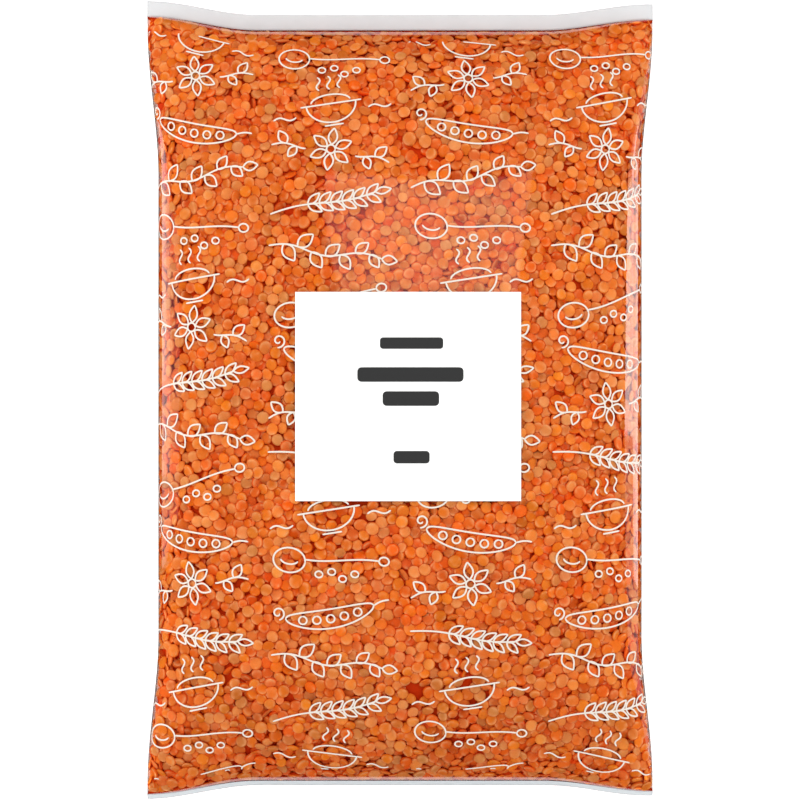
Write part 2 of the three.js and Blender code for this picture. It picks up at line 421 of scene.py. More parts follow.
class Film(Pillow):
    """The bag's skin, unrolled. s runs round it from the top centre line towards the right edge, and t
    along it from the bottom seal line."""

    ROUND = 560
    ALONG = 420
    FINE = 2400
    INSET = 0.15 * MM  # leaves room for the print outside it
    GROOVE = 0.75 * MM  # how deep the back seam presses the film in
    GROOVE_SIDE = 0.8 * MM

    def __init__(self, form):
        super().__init__(form)
        v = -np.cos(np.linspace(0, np.pi, self.FINE))
        middle = np.zeros_like(v)
        travelled = lengths_along(self.point(middle, v, self.top(middle, v)))
        self.length = travelled[-1]
        self.v = np.interp(np.linspace(0, self.length, self.ALONG + 1), travelled, v)

        turn = np.linspace(0, 2 * np.pi, self.FINE)
        rows = self.v[:, None] + 0 * turn
        loops = self.section(turn + 0 * rows, rows)
        travelled = lengths_along(loops)
        self.girth = travelled[:, -1].mean()
        share = np.arange(self.ROUND) / self.ROUND
        turns = np.array([np.interp(share * row[-1], row, turn) for row in travelled])
        self.points = self.section(turns, self.v[:, None] + 0 * turns)

        across = np.roll(self.points, -1, axis=1) - np.roll(self.points, 1, axis=1)
        self.normals = unit(np.cross(across, np.gradient(self.points, axis=0)) + [0, 0, 1e-12])
        self.across = unit(across)
        self.points = self.points - self.normals * (self.INSET + self.seam_groove())[..., None]

    def section(self, turn, v):
        """Points of the section at v. A turn of 0 is the top centre and a quarter turn the right edge."""
        x = self.half_width(v) * np.sin(turn)
        return self.point(x, v, np.where(np.cos(turn) >= 0, self.top(x, v), self.under(x, v)))

    def seam_groove(self):
        """How far the film is pressed in by the seam down its back."""
        middle, half = (SEAM_LOW.x + SEAM_HIGH.x) / 2, (SEAM_HIGH.x - SEAM_LOW.x) / 2
        beside = (np.abs(self.points[..., 0] - middle) - half) / self.GROOVE_SIDE
        underneath = np.cos(np.arange(self.ROUND) / self.ROUND * 2 * np.pi) < 0
        between_ends = np.abs(self.v) < 0.995
        return self.GROOVE * (1 - ease(beside)) * underneath * between_ends[:, None]

    def sample(self, field, s, t):
        """A field of the film, such as its points, at any s and t."""
        column = (s / self.girth * self.ROUND) % self.ROUND
        row = np.clip(t / self.length * self.ALONG, 0, self.ALONG - 1e-9)
        i, j = row.astype(int), column.astype(int) % self.ROUND
        a, b = (row - i)[..., None], (column - np.floor(column))[..., None]
        following = (j + 1) % self.ROUND
        near = field[i, j] * (1 - b) + field[i, following] * b
        far = field[i + 1, j] * (1 - b) + field[i + 1, following] * b
        return near * (1 - a) + far * a

    def normal(self, s, t):
        return unit(self.sample(self.normals, s, t))

    def lifted(self, s, t, lift):
        """Points that far out of the film, or under it where lift is below 0."""
        return self.sample(self.points, s, t) + self.normal(s, t) * lift

    def outside(self, points):
        """How far points stick out of the bag's form, or less than 0 for those inside it."""
        x, y, z = np.moveaxis(points, -1, 0)
        v = ((y - self.shift) / self.seal_line_reach(x)).clip(-1, 1)
        past_end = np.abs(y - self.shift) - self.seal_line_reach(x)
        past_side = np.abs(x) - self.half_width(v)
        return np.max([past_end, past_side, z - self.top(x, v), self.under(x, v) - z], axis=0)

    def room(self, s, t):
        """How deep the contents reach under the film before they meet those under its other side."""
        v = np.interp(t, np.linspace(0, self.length, self.ALONG + 1), self.v)
        height = np.abs(self.sample(self.points, s, t)[..., 2] - self.waist(v))
        upright = np.abs(self.sample(self.normals, s, t)[..., 2])
        return (height + 0.05 * MM) / (upright + 0.01)


def grid_faces(rows, columns, closed):
    """Quads over a grid of points stored row by row, joined round each row where it is closed."""
    j, i = np.mgrid[0 : rows - 1, 0 : columns if closed else columns - 1]
    right = (i + 1) % columns
    here, above = j * columns, (j + 1) * columns
    return np.stack([here + i, here + right, above + right, above + i], -1).reshape(-1, 4)


# The lentils


class Heap:
    """Lentils pressed side by side under the film, where each leans on those that its edge overlaps. The
    film is unrolled flat for it: height 0 is the film and what lies deeper is below 0."""

    SPREADS = 40
    LEANS = 60
    SPACING = 0.85  # between neighbours' middles, over the sum of their radii
    MARGIN = 3.2 * MM  # from a seal line to the nearest middle
    CLEARANCE = 0.2 * MM
    RISE = 0.03 * MM  # how far the heap lifts a lentil in each round of leaning
    STEEPEST = 0.5  # slope that a lentil lies at
    TIPPED = 0.09  # share of lentils that lie more steeply than that
    TIPPING = 0.9  # and how much more
    UNLEVEL = 0.05  # slopes that the leaning starts from
    SIZE_SPREAD = 0.08  # standard deviation of a lentil's size, as a share of it
    PLUMPNESS_SPREAD = 0.1  # the same for its plumpness
    BATCH = 200  # lentils whose neighbours are looked for at once
    NEAR = 1.3  # how close lentils are that may push each other, in diameters
    REFRESH = 8  # rounds of pushing between two searches for them
    PUSH = 0.3  # share of an overlap by which each of the two is moved
    MEETING = 1.2  # how close lentils are that may touch, in diameters
    LEVELLING = 0.99  # what a round of leaning leaves of a slope

    def __init__(self, film, settings):
        self.film = film
        self.settings = settings
        self.random = np.random.default_rng(settings.seed)

    def close_pairs(self, at, reach):
        """Every pair of lentils with their middles closer than reach."""
        order = np.argsort(at[:, 1])
        along = at[order, 1]
        pairs = []
        for start in range(0, len(at), self.BATCH):
            stop = min(start + self.BATCH, len(at))
            near = order[start : np.searchsorted(along, along[stop - 1] + reach)]
            apart = np.abs(at[order[start:stop], None] - at[near])
            apart[..., 0] = np.minimum(apart[..., 0], self.film.girth - apart[..., 0])
            first, second = np.nonzero((apart**2).sum(-1) < reach * reach)
            later = second > first
            pairs.append(near[np.stack([first[later], second[later]])])
        return np.concatenate(pairs, axis=1)

    def between(self, at, first, second):
        """The direction and distance from one lentil of each pair to the other."""
        apart = at[second] - at[first]
        apart[:, 0] -= np.round(apart[:, 0] / self.film.girth) * self.film.girth
        distance = np.linalg.norm(apart, axis=1) + 1e-9
        return apart / distance[:, None], distance

    def spread(self, at, radius):
        """Pushes lentils apart where they overlap."""
        for k in range(self.SPREADS):
            if k % self.REFRESH == 0:
                first, second = self.close_pairs(at, self.NEAR * self.settings.diameter)
            way, distance = self.between(at, first, second)
            overlap = np.maximum((radius[first] + radius[second]) * self.SPACING - distance, 0)
            push = way * (self.PUSH * overlap)[:, None]
            np.add.at(at, first, -push)
            np.add.at(at, second, push)
            at[:, 1] = at[:, 1].clip(self.MARGIN, self.film.length - self.MARGIN)
        at[:, 0] %= self.film.girth

    def lean(self, at, radius, half):
        """The height and slope at which each lentil lies under the film, clear of those it overlaps."""
        rank = self.random.random(len(at))
        first, second = self.close_pairs(at, self.MEETING * self.settings.diameter)
        over = np.where(rank[first] > rank[second], first, second)
        under = np.where(rank[first] > rank[second], second, first)
        way, distance = self.between(at, over, under)
        ahead = (distance + radius[over] - radius[under]) / 2
        behind = distance - ahead
        meet = (ahead < radius[over]) & (behind < radius[under])
        over, under, way, ahead, behind = over[meet], under[meet], way[meet], ahead[meet], behind[meet]
        over_half = half[over] * np.sqrt(1 - (ahead / radius[over]).clip(-1, 1) ** 2)
        under_half = half[under] * np.sqrt(1 - (behind / radius[under]).clip(-1, 1) ** 2)
        over_turn = ahead / (radius[over] ** 2 / 4)
        under_turn = behind / (radius[under] ** 2 / 4)
        give = 2 + over_turn * ahead + under_turn * behind

        height = -half - self.CLEARANCE
        slope = self.random.normal(0, self.UNLEVEL, (len(at), 2))
        for k in range(self.LEANS):
            foot = height[over] + (slope[over] * way).sum(1) * ahead - over_half
            crown = height[under] - (slope[under] * way).sum(1) * behind + under_half
            lift = 0.5 * np.maximum(crown - foot, 0) / give
            np.add.at(height, over, lift)
            np.add.at(height, under, -lift)
            np.add.at(slope, over, way * (lift * over_turn)[:, None])
            np.add.at(slope, under, way * (lift * under_turn)[:, None])
            steep = np.linalg.norm(slope, axis=1, keepdims=True) + 1e-9
            slope *= np.minimum(self.LEVELLING, self.STEEPEST / steep)
            height = self.under_film(height + self.RISE, slope, radius, half)
        tipped = self.random.random(len(at)) < self.TIPPED
        slope[tipped] += self.random.normal(0, self.TIPPING, (tipped.sum(), 2))
        return self.under_film(height, slope, radius, half), slope

    def under_film(self, height, slope, radius, half):
        """The heights, lowered where a lentil would touch the film."""
        steep = np.linalg.norm(slope, axis=1)
        rise = np.hypot(half, radius * steep) / np.sqrt(1 + steep**2)
        return np.minimum(height, -self.CLEARANCE - rise)

    def layer(self, cover, depth):
        """A layer of lentils, as rows of s, t, height, axis, radius and half thickness."""
        film, settings, random = self.film, self.settings, self.random
        count = round(cover * film.girth * film.length / (math.pi * settings.diameter**2 / 4))
        at = random.random((count, 2)) * [film.girth, film.length]
        radius = settings.diameter / 2 * random.normal(1, self.SIZE_SPREAD, count).clip(0.8, 1.2)
        plumpness = settings.plumpness * random.normal(1, self.PLUMPNESS_SPREAD, count).clip(0.75, 1.25)
        half = radius * plumpness
        self.spread(at, radius)
        room = film.room(at[:, 0], at[:, 1])
        half = np.minimum(half, 0.5 * room)
        height, slope = self.lean(at, radius, half)
        axis = unit(np.column_stack([-slope, np.ones(count)]))
        places = np.column_stack([at, height - depth, axis, radius, half])
        return places[room > depth]


def lens(segments, profile):
    """Points, triangles, normals and painted light tones of a lens, whose profile goes from its top to its
    foot. Each step is a radius and a height, in units of the lens's radius and half thickness, how far the
    skin leans outward there in degrees, and the painted light tone: 1 round its face, for a painted
    highlight, and -1 from the rim down, for painted shade."""
    turn = np.arange(segments) / segments * 2 * np.pi
    points, normals, painted_light_tones = [], [], []
    for radius, height, lean, tone in profile:
        flat, rise = math.sin(math.radians(lean)), math.cos(math.radians(lean))
        round_it = turn if radius else [0]
        points += [[radius * math.cos(a), radius * math.sin(a), height] for a in round_it]
        normals += [[flat * math.cos(a), flat * math.sin(a), rise] for a in round_it]
        painted_light_tones += [tone for a in round_it]
    last = len(points) - 1
    triangles = []
    for k in range(segments):
        following = (k + 1) % segments
        triangles.append([0, 1 + k, 1 + following])
        triangles.append([last, last - segments + following, last - segments + k])
        for level in range(len(profile) - 3):
            a, b = 1 + level * segments + k, 1 + level * segments + following
            triangles += [[a, a + segments, b], [b, a + segments, b + segments]]
    return np.array(points, float), np.array(triangles), np.array(normals), np.array(painted_light_tones, float)


NEARLY_LEVEL = 0.8  # rise of the film's normal from which the core lies at its full depth
MOST_OF_ROOM = 0.8


def core_depth(film, settings, s, t):
    """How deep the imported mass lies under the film, which is less up the sides and at the thin ends."""
    level = np.abs(film.normal(s, t)[..., 2])
    depth = mix(settings.side_depth, settings.core_depth, ease(level / NEARLY_LEVEL))
    return np.minimum(depth, MOST_OF_ROOM * film.room(s, t))


def in_film(film, places):
    """Where lentils of the unrolled heap lie in the bag: their middles, and the directions of their axes
    and of two lines across them."""
    s, t, height, axis = places[:, 0], places[:, 1], places[:, 2:3], places[:, 3:6]
    normal = film.normal(s, t)
    across = film.sample(film.across, s, t)
    across = unit(across - normal * (across * normal).sum(-1, keepdims=True))
    along = np.cross(normal, across)
    up = unit(across * axis[:, 0:1] + along * axis[:, 1:2] + normal * axis[:, 2:3])
    side = unit(np.cross(up, along + 0.3 * across))
    return film.lifted(s, t, height), up, side, np.cross(up, side)


OVAL, THREE_SIDED, BENT = 0.035, 0.022, 0.07  # how far lentils are out of round and out of flat
STANDS_OUT = 0.35 * MM  # the most that a lentil may reach past the bag's form
SHADE_SPREAD = 0.1  # standard deviation of a lentil's brightness, as a share of it
PALE_SHAPE, PALE_SCALE = 1.2, 0.09  # of the gamma law that says how many lentils are how pale
SHADE_FROM_DEPTH, SHADE_OVER_DEPTH = 1.5 * MM, 3 * MM  # depths between which the colour is dimmed, as painted shade
BAKE_RADIUS = 0.42  # of a lentil in its own cell of the bake's layout


def make_lentils(name, material, film, places, shape, tint, random):
    """One kind of lentil as a single mesh, each lentil slightly out of round and with its own tint, dimmed by
    painted shade where it lies deep.
    """
    points, triangles, normals, painted_light_tones = shape
    count, size = len(places), len(points)
    middle, up, side, fore = (v[:, None, :] for v in in_film(film, places))
    radius, half_thick = places[:, 6][:, None], places[:, 7][:, None]
    turn = np.arctan2(points[:, 1], points[:, 0])
    phase = random.uniform(0, 2 * np.pi, (count, 3, 1))
    uneven = 1 + OVAL * np.cos(2 * turn + phase[:, 0]) + THREE_SIDED * np.cos(3 * turn + phase[:, 1])
    bend = BENT * random.normal(0, 1, (count, 1)) * np.cos(2 * turn + phase[:, 2])
    x = points[:, 0] * uneven * radius
    y = points[:, 1] * uneven * radius
    z = (points[:, 2] + bend * np.hypot(points[:, 0], points[:, 1]) ** 2) * half_thick
    place = middle + side * x[..., None] + fore * y[..., None] + up * z[..., None]
    facing = side * normals[:, :1] + fore * normals[:, 1:2] + up * normals[:, 2:]
    kept = film.outside(place).max(axis=1) < STANDS_OUT
    place, facing, height = place[kept], facing[kept], places[kept, 2:3]
    count = len(place)
    faces = triangles[None] + size * np.arange(count)[:, None, None]
    piece = make_piece(name, place, faces.reshape(-1, 3), material, "lentils")
    mesh = piece.data
    mesh.normals_split_custom_set_from_vertices(facing.reshape(-1, 3).tolist())

    shade = random.normal(1, SHADE_SPREAD, (count, 1)).clip(0.7, 1.2)
    paleness = random.gamma(PALE_SHAPE, PALE_SCALE, (count, 1)).clip(0, 0.5)
    # painted shade: lentils lying deep are dimmed and reddened
    painted_depth_shade = ((-height - SHADE_FROM_DEPTH) / SHADE_OVER_DEPTH).clip(0, 1)
    colours = np.ones((count, 4))
    colours[:, :3] = mix(np.array(tint) * shade, PALEST_TONE_AND_HIGHLIGHT, paleness).clip(0, 1) * mix(1, np.array(DEPTH_SHADE), painted_depth_shade)
    tints = mesh.attributes.new("tint", "FLOAT_COLOR", "POINT")
    tints.data.foreach_set("color", np.repeat(colours, size, axis=0).astype(np.float32).ravel())
    # where the painted highlight and the painted shade go on each lentil
    painted_light_edges = mesh.attributes.new("edge", "FLOAT", "POINT")
    painted_light_edges.data.foreach_set("value", np.tile(painted_light_tones, count).astype(np.float32))

    cells = math.ceil(math.sqrt(count))
    corner = np.stack([np.arange(count) % cells, np.arange(count) // cells], -1)[:, None, :]
    flat = (corner + 0.5 + BAKE_RADIUS * points[None, :, :2]) / cells
    wrap = mesh.uv_layers.new(name="OFBake")
    wrap.data.foreach_set("uv", flat.reshape(-1, 2)[faces.reshape(-1)].astype(np.float32).ravel())
    return piece


# Lines and sheets that follow the film


def resampled(line, step):
    line = np.asarray(line, float)
    travelled = lengths_along(line)
    count = max(2, int(math.ceil(travelled[-1] / step)) + 1)
    at = np.linspace(0, travelled[-1], count)
    return np.stack([np.interp(at, travelled, line[:, k]) for k in range(2)], -1)


RIBBON_STEP = 0.9 * MM
BLUNT = 0.12  # how wide a ribbon's tip is, as a share of its width


def ribbon(film, line, width, low, high):
    """Points and quads of a raised line on the film, rounded at its ends. The line is in s and t."""
    line = resampled(line, RIBBON_STEP)
    forward = unit(np.gradient(line, axis=0) + 1e-12)
    sideways = np.stack([-forward[:, 1], forward[:, 0]], -1)
    travelled = lengths_along(line)
    from_end = np.minimum(travelled, travelled[-1] - travelled) + BLUNT * width
    half = width / 2 * np.sqrt(1 - (1 - np.clip(from_end / (width / 2), 0, 1)) ** 2)
    points = []
    for side, lift in ((-1, low), (0, high), (1, low)):
        at = line + sideways * half[:, None] * side
        points.append(film.lifted(at[:, 0], at[:, 1], lift))
    points = np.stack(points, 1)
    return points.reshape(-1, 3), grid_faces(len(line), 3, False)[:, ::-1]


def joined(parts):
    """One set of points and faces out of many."""
    points, faces, start = [], [], 0
    for some_points, some_faces in parts:
        points.append(some_points)
        faces.append(some_faces + start)
        start += len(some_points)
    return np.concatenate(points), np.concatenate(faces)


def with_closed_ends(film, points, ends, beyond=0.0):
    """Rows of points round the bag, with one more at each end that is pinched together at the seal line."""
    ends = ends.copy()
    ends[..., 1] += np.array([[-beyond], [beyond]])
    ends[..., 2] = mix(film.form.seal_height, ends[..., 2], PINCH)
    return np.concatenate([ends[:1], points, ends[1:]])


def slab(upper, lower):
    """A closed sheet from the grids of its two faces."""
    rows, columns = upper.shape[:2]
    loops = np.concatenate([upper, lower[:, ::-1]], axis=1)
    size = 2 * columns
    faces = [grid_faces(rows, size, True)]
    k = np.arange(columns - 1)
    start, end = 0, (rows - 1) * size
    faces.append(np.stack([start + k, start + size - 1 - k, start + size - 2 - k, start + k + 1], -1))
    faces.append(np.stack([end + k, end + k + 1, end + size - 2 - k, end + size - 1 - k], -1))
    return loops.reshape(-1, 3), np.concatenate(faces)


# The print: line drawings in millimetres, each about its own middle


def arc(x, y, across, up, start, end, steps=28):
    turn = np.radians(np.linspace(start, end, steps))
    return np.stack([x + across * np.cos(turn), y + up * np.sin(turn)], -1)


def turned(line, degrees, x=0.0, y=0.0):
    c, s = math.cos(math.radians(degrees)), math.sin(math.radians(degrees))
    return np.asarray(line) @ np.array([[c, s], [-s, c]]) + [x, y]


def leaf(x, y, degrees, size, fullness=0.3, foot=0.0):
    """The two edges of a pointed leaf, from its stem to its tip. It starts at foot, a share of its size."""
    along = ease(np.linspace(0, 1, 20))
    bulge = np.sin(np.pi * along**0.85) * fullness
    out = foot + (1 - foot) * along
    return [turned(np.stack([out, side * bulge], -1) * size, degrees, x, y) for side in (1, -1)]


def stem(x0, x1, rise, wave, turns, y=0.0):
    t = np.linspace(0, 1, 48)
    return np.stack([x0 + (x1 - x0) * t, y + rise * (t - 0.5) + wave * np.sin(2 * np.pi * turns * t)], -1)


def leafy_sprig():
    line = stem(-31, 27, 2, 1.8, 1.5)
    lines = [line]
    for k, at in enumerate(np.linspace(6, 42, 7).astype(int)):
        above = 1 if k % 2 else -1
        lines += leaf(*line[at], above * 48, 10.5 - 0.4 * k)
    return lines + leaf(*line[-1], 0, 8)


def bean_pod():
    reach, half, sag = 23, 5.0, 3.4
    x = np.linspace(-1, 1, 50)
    middle = sag * (x * x - 1)
    swell = half * np.sqrt(1 - x * x)
    painted_light_edges = [np.stack([x * reach, middle + side * swell], -1) for side in (1, -1)]
    places = np.linspace(-0.62, 0.62, 5)
    seeds = [arc(at * reach, sag * (at * at - 1), 2.1, 2.1, 90, 450, 20) for at in places]
    curl = np.linspace(0, 2.4 * np.pi, 40)
    size = 3.6 * (1 - curl / (3.2 * np.pi))
    tendril = np.stack([-reach - 3.2 + size * np.sin(curl), 3.6 - size * np.cos(curl)], -1)
    return painted_light_edges + seeds + [tendril, stem(reach, reach + 8, 1.6, 0.7, 0.5, 0.8)]


def grain_ear():
    line = stem(-31, 24, 3, 1.2, 1)
    lines = [line]
    for at in np.linspace(17, 43, 6).astype(int):
        for above in (1, -1):
            lines += leaf(*line[at], above * 36, 8.4, 0.21)
    return lines + leaf(*line[-1], 3, 8.4, 0.21)


def steaming_bowl():
    bowl = arc(0, 0, 13, 10.5, 180, 360)
    rim = np.array([[-16, 0], [16, 0]])
    foot = np.array([[-5, -12], [5, -12]])
    heap = arc(0, 0.6, 10.5, 4.6, 8, 172, 30)
    steam = [turned(stem(0, 8, 0, 1.2, 1), 90, x, 8.2) for x in (-5, 0.5, 6)]
    return [bowl, rim, foot, heap, stem(-31, -19, 0, 1.1, 1, -5), stem(19, 31, 0, 1.1, 1, -5)] + steam


def round_ladle():
    cup = arc(-20, -2.5, 8.2, 6.4, 0, 360, 40)
    inner = arc(-20, -1.6, 4.8, 3.0, 200, 340, 16)
    handle = np.stack([np.linspace(-11.8, 25, 40), -1 + 5 * ease(np.linspace(0, 1, 40))], -1)
    eye = arc(27.6, 4.2, 2.6, 2.2, 180, 540, 20)
    seeds = [arc(x, y, 2.0, 1.7, 0, 360, 16) for x, y in ((-4, -7.5), (2.2, -5.2), (8.2, -8), (14, -4.6))]
    return [cup, inner, handle, eye] + seeds


def open_flower():
    lines = [arc(0, 1.5, 2.3, 2.3, 0, 360, 20)]
    for k in range(6):
        lines += leaf(0, 1.5, 90 + 60 * k, 11.5, 0.2, 0.22)
    for side in (-1, 1):
        line = stem(side * 31, side * 13, 2, 1.3, 0.75)
        lines += [line] + leaf(*line[20], 90 - side * 40, 8) + leaf(*line[34], -90 + side * 30, 7)
    return lines


MOTIFS = (leafy_sprig, steaming_bowl, bean_pod, grain_ear, round_ladle, open_flower)
TILT = 9  # degrees, one way and then the other
LINE_STEP = 0.6 * MM
PRINT_MARGIN = 20 * MM  # from a seal line, round the shoulder of the bag
LABEL_OVERLAP = 3 * MM  # how far the print runs on under the label's edge


def shown_runs(film, line):
    """The stretches of a line that are on the film between the shoulders and outside the label."""
    inside = (line[:, 1] > PRINT_MARGIN) & (line[:, 1] < film.length - PRINT_MARGIN)
    where = film.sample(film.points, line[:, 0], line[:, 1].clip(0, film.length))
    low, high = (np.array(corner[:2]) for corner in (LABEL_LOW, LABEL_HIGH))
    within = np.abs(where[:, :2] - (low + high) / 2) < (high - low) / 2 - LABEL_OVERLAP
    shown = inside & ~(within.all(axis=1) & (where[:, 2] > film.form.waist_height))
    breaks = np.flatnonzero(np.diff(shown.astype(int))) + 1
    runs = zip(np.split(line, breaks), np.split(shown, breaks))
    return [run for run, keep in runs if keep[0] and len(run) > 2]


def print_lines(film, settings):
    """The motifs set in columns round the bag, every other column dropped by half a row."""
    columns = 2 * round(film.girth / settings.motif_pitch / 2)
    rows = math.ceil(film.length / settings.row_pitch) + 1
    lines = []
    for column in range(columns):
        for row in range(rows):
            motif = MOTIFS[(2 * row + 5 * column + (row // 3)) % len(MOTIFS)]()
            tilt = TILT if (row + column) % 2 else -TILT
            s = (column + 0.5) * film.girth / columns
            t = (row + 0.5 * (column % 2) - 0.3) * settings.row_pitch
            for line in motif:
                line = resampled(turned(line, tilt) * MM, LINE_STEP) + [s, t]
                lines += shown_runs(film, line)
    return lines


# The operators, one for each piece or group of like pieces


class BuildCore(bpy.types.Operator):
    """Adds the mass of lentils too deep to be seen one by one"""

    bl_idname = "lentil_bag.core"
    bl_label = "Core"

    ROWS = 120
    COLUMNS = 160

    def execute(self, context):
        film = Film(context.scene.bag_form)
        settings = context.scene.bag_lentils
        s = np.arange(self.COLUMNS) * film.girth / self.COLUMNS
        t = np.linspace(0, film.length, self.ROWS)
        s, t = np.meshgrid(s, t)
        points = film.lifted(s, t, -core_depth(film, settings, s, t)[..., None])
        at_film = film.sample(film.points, s, t)
        points = with_closed_ends(film, points, at_film[[0, -1]])
        faces = grid_faces(len(points), self.COLUMNS, True)
        make_piece("lentil_core", points, faces, core_stuff(), "lentils")
        return {"FINISHED"}


class BuildLentils(bpy.types.Operator):
    """Adds the loose lentils that show through the film, one mesh for each kind"""

    bl_idname = "lentil_bag.lentils"
    bl_label = "Lentils"

    SEGMENTS = 14
    # Profiles for lens, of a whole lentil and of one split in two
    WHOLE = ((0, 1, 0, -0.1), (0.8, 0.74, 20, 1), (1, 0, 90, -1), (0, -1, 180, -1))
    CUT = ((0, 0.6, 0, 0), (0.9, 0.6, 6, 1), (1, 0.2, 90, -1), (0, -0.9, 180, -1))
    KINDS = (  # name, share of all and profile
        ("bright", 0.22, WHOLE),
        ("amber", 0.22, WHOLE),
        ("deep", 0.17, WHOLE),
        ("peach", 0.15, WHOLE),
        ("dull", 0.11, WHOLE),
        ("halved", 0.13, CUT),
    )

    def execute(self, context):
        settings = context.scene.bag_lentils
        film = Film(context.scene.bag_form)
        heap = Heap(film, settings)
        layers = (settings.cover, 0), (settings.lower_cover, settings.lower_depth)
        places = np.concatenate([heap.layer(cover, depth) for cover, depth in layers])
        shares = [share for name, share, profile in self.KINDS]
        kinds = heap.random.choice(len(self.KINDS), len(places), p=shares)
        material = lentil_skin()
        for k, (name, share, profile) in enumerate(self.KINDS):
            shape = lens(self.SEGMENTS, profile)
            tint = getattr(settings, name)
            make_lentils("lentils_" + name, material, film, places[kinds == k], shape, tint, heap.random)
        return {"FINISHED"}


class BuildFilm(bpy.types.Operator):
    """Adds the clear film, drawn in to the seals at both ends"""

    bl_idname = "lentil_bag.film"
    bl_label = "Film"

    STRIDE = 2
    CLOSING = 0.25 * MM

    def execute(self, context):
        film = Film(context.scene.bag_form)
        points = film.points[:: self.STRIDE, :: self.STRIDE]
        points = with_closed_ends(film, points, points[[0, -1]], self.CLOSING)
        faces = grid_faces(len(points), points.shape[1], True)
        make_piece("film_skin", points, faces, clear_film(), "clear_film", replaced=["filled_bag"])
        return {"FINISHED"}


class BuildPrint(bpy.types.Operator):
    """Adds the white line drawings printed on the film"""

    bl_idname = "lentil_bag.print"
    bl_label = "Print"

    LOW = 0.03 * MM
    HIGH = 0.13 * MM

    def execute(self, context):
        film = Film(context.scene.bag_form)
        settings = context.scene.bag_print
        width = settings.line_width
        lines = print_lines(film, settings)
        points, faces = joined([ribbon(film, line, width, self.LOW, self.HIGH) for line in lines])
        material = ink("white_ink", settings.ink, roughness=0.45)
        make_piece("film_print", points, faces, material, "clear_film")
        return {"FINISHED"}


class BuildSeals(bpy.types.Operator):
    """Adds the flat welded ends of the film and the seam down its back"""

    bl_idname = "lentil_bag.seals"
    bl_label = "Seals"

    THICKNESS = 0.3 * MM
    WIDTH = 8.2 * MM
    START = 0.05 * MM  # past the seal line
    RIPPLE = 0.08 * MM
    STEPS = 180
    ACROSS = 8
    SEAM_LIFT = 0.15 * MM  # from the bag's outer form in to the seam
    SEAM_THICKNESS = 0.4 * MM
    SEAM_STEPS = 240
    SEAM_ACROSS = 9
    ENDS = (  # node, end, droop in degrees, tone and cover
        ("top_seal", 1, 4, (0.615, 0.625, 0.635), 0.7),
        ("bottom_seal", -1, 71.5, (0.60, 0.65, 0.68), 0.8),
    )

    def end_seal(self, film, node, end, droop):
        low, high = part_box(node)
        droop = math.radians(droop)
        width = self.WIDTH
        x = np.linspace(low.x, high.x, self.STEPS + 1)[None, :]
        out = np.linspace(0, width, self.ACROSS + 1)[:, None]
        ripple = self.RIPPLE * np.sin(x / (5.3 * MM) + 2 * np.sin(x / (31 * MM))) * (out / width) ** 0.7
        start = film.seal_line_reach(x) + self.START
        points = np.stack(
            [
                x + 0 * out,
                end * (start + out * math.cos(droop) + ripple * math.sin(droop)) + film.shift,
                film.form.seal_height - out * math.sin(droop) + ripple * math.cos(droop),
            ],
            -1,
        )
        up = np.array([0, end * math.sin(droop), math.cos(droop)])
        if end < 0:
            points = points[:, ::-1]
        return slab(points + up * self.THICKNESS / 2, points - up * self.THICKNESS / 2)

    def back_seam(self, film):
        y = np.linspace(SEAM_HIGH.y, SEAM_LOW.y, self.SEAM_STEPS)[:, None]
        x = np.linspace(SEAM_HIGH.x, SEAM_LOW.x, self.SEAM_ACROSS)[None, :]
        v = ((y - film.shift) / (film.form.middle_length / 2)).clip(-1, 1)
        z = film.under(x + 0 * y, v + 0 * x)
        at = np.stack([x + 0 * y, y + 0 * x, z], -1)
        inward = unit(np.cross(np.gradient(at, axis=1), np.gradient(at, axis=0)))
        at += inward * self.SEAM_LIFT
        return slab(at + inward * self.SEAM_THICKNESS, at)

    def execute(self, context):
        film = Film(context.scene.bag_form)
        for node, end, droop, tone, cover in self.ENDS:
            points, faces = self.end_seal(film, node, end, droop)
            material = welded_film(node + "_weld", tone, cover)
            piece = make_piece(node + "_film", points, faces, material, "clear_film", replaced=[node])
            piece.visible_glossy = False
        points, faces = self.back_seam(film)
        material = welded_film("back_seam_weld", SEAM_TONE, cover=0.62)
        make_piece("back_seam_film", points, faces, material, "clear_film", replaced=["back_seam"])
        return {"FINISHED"}


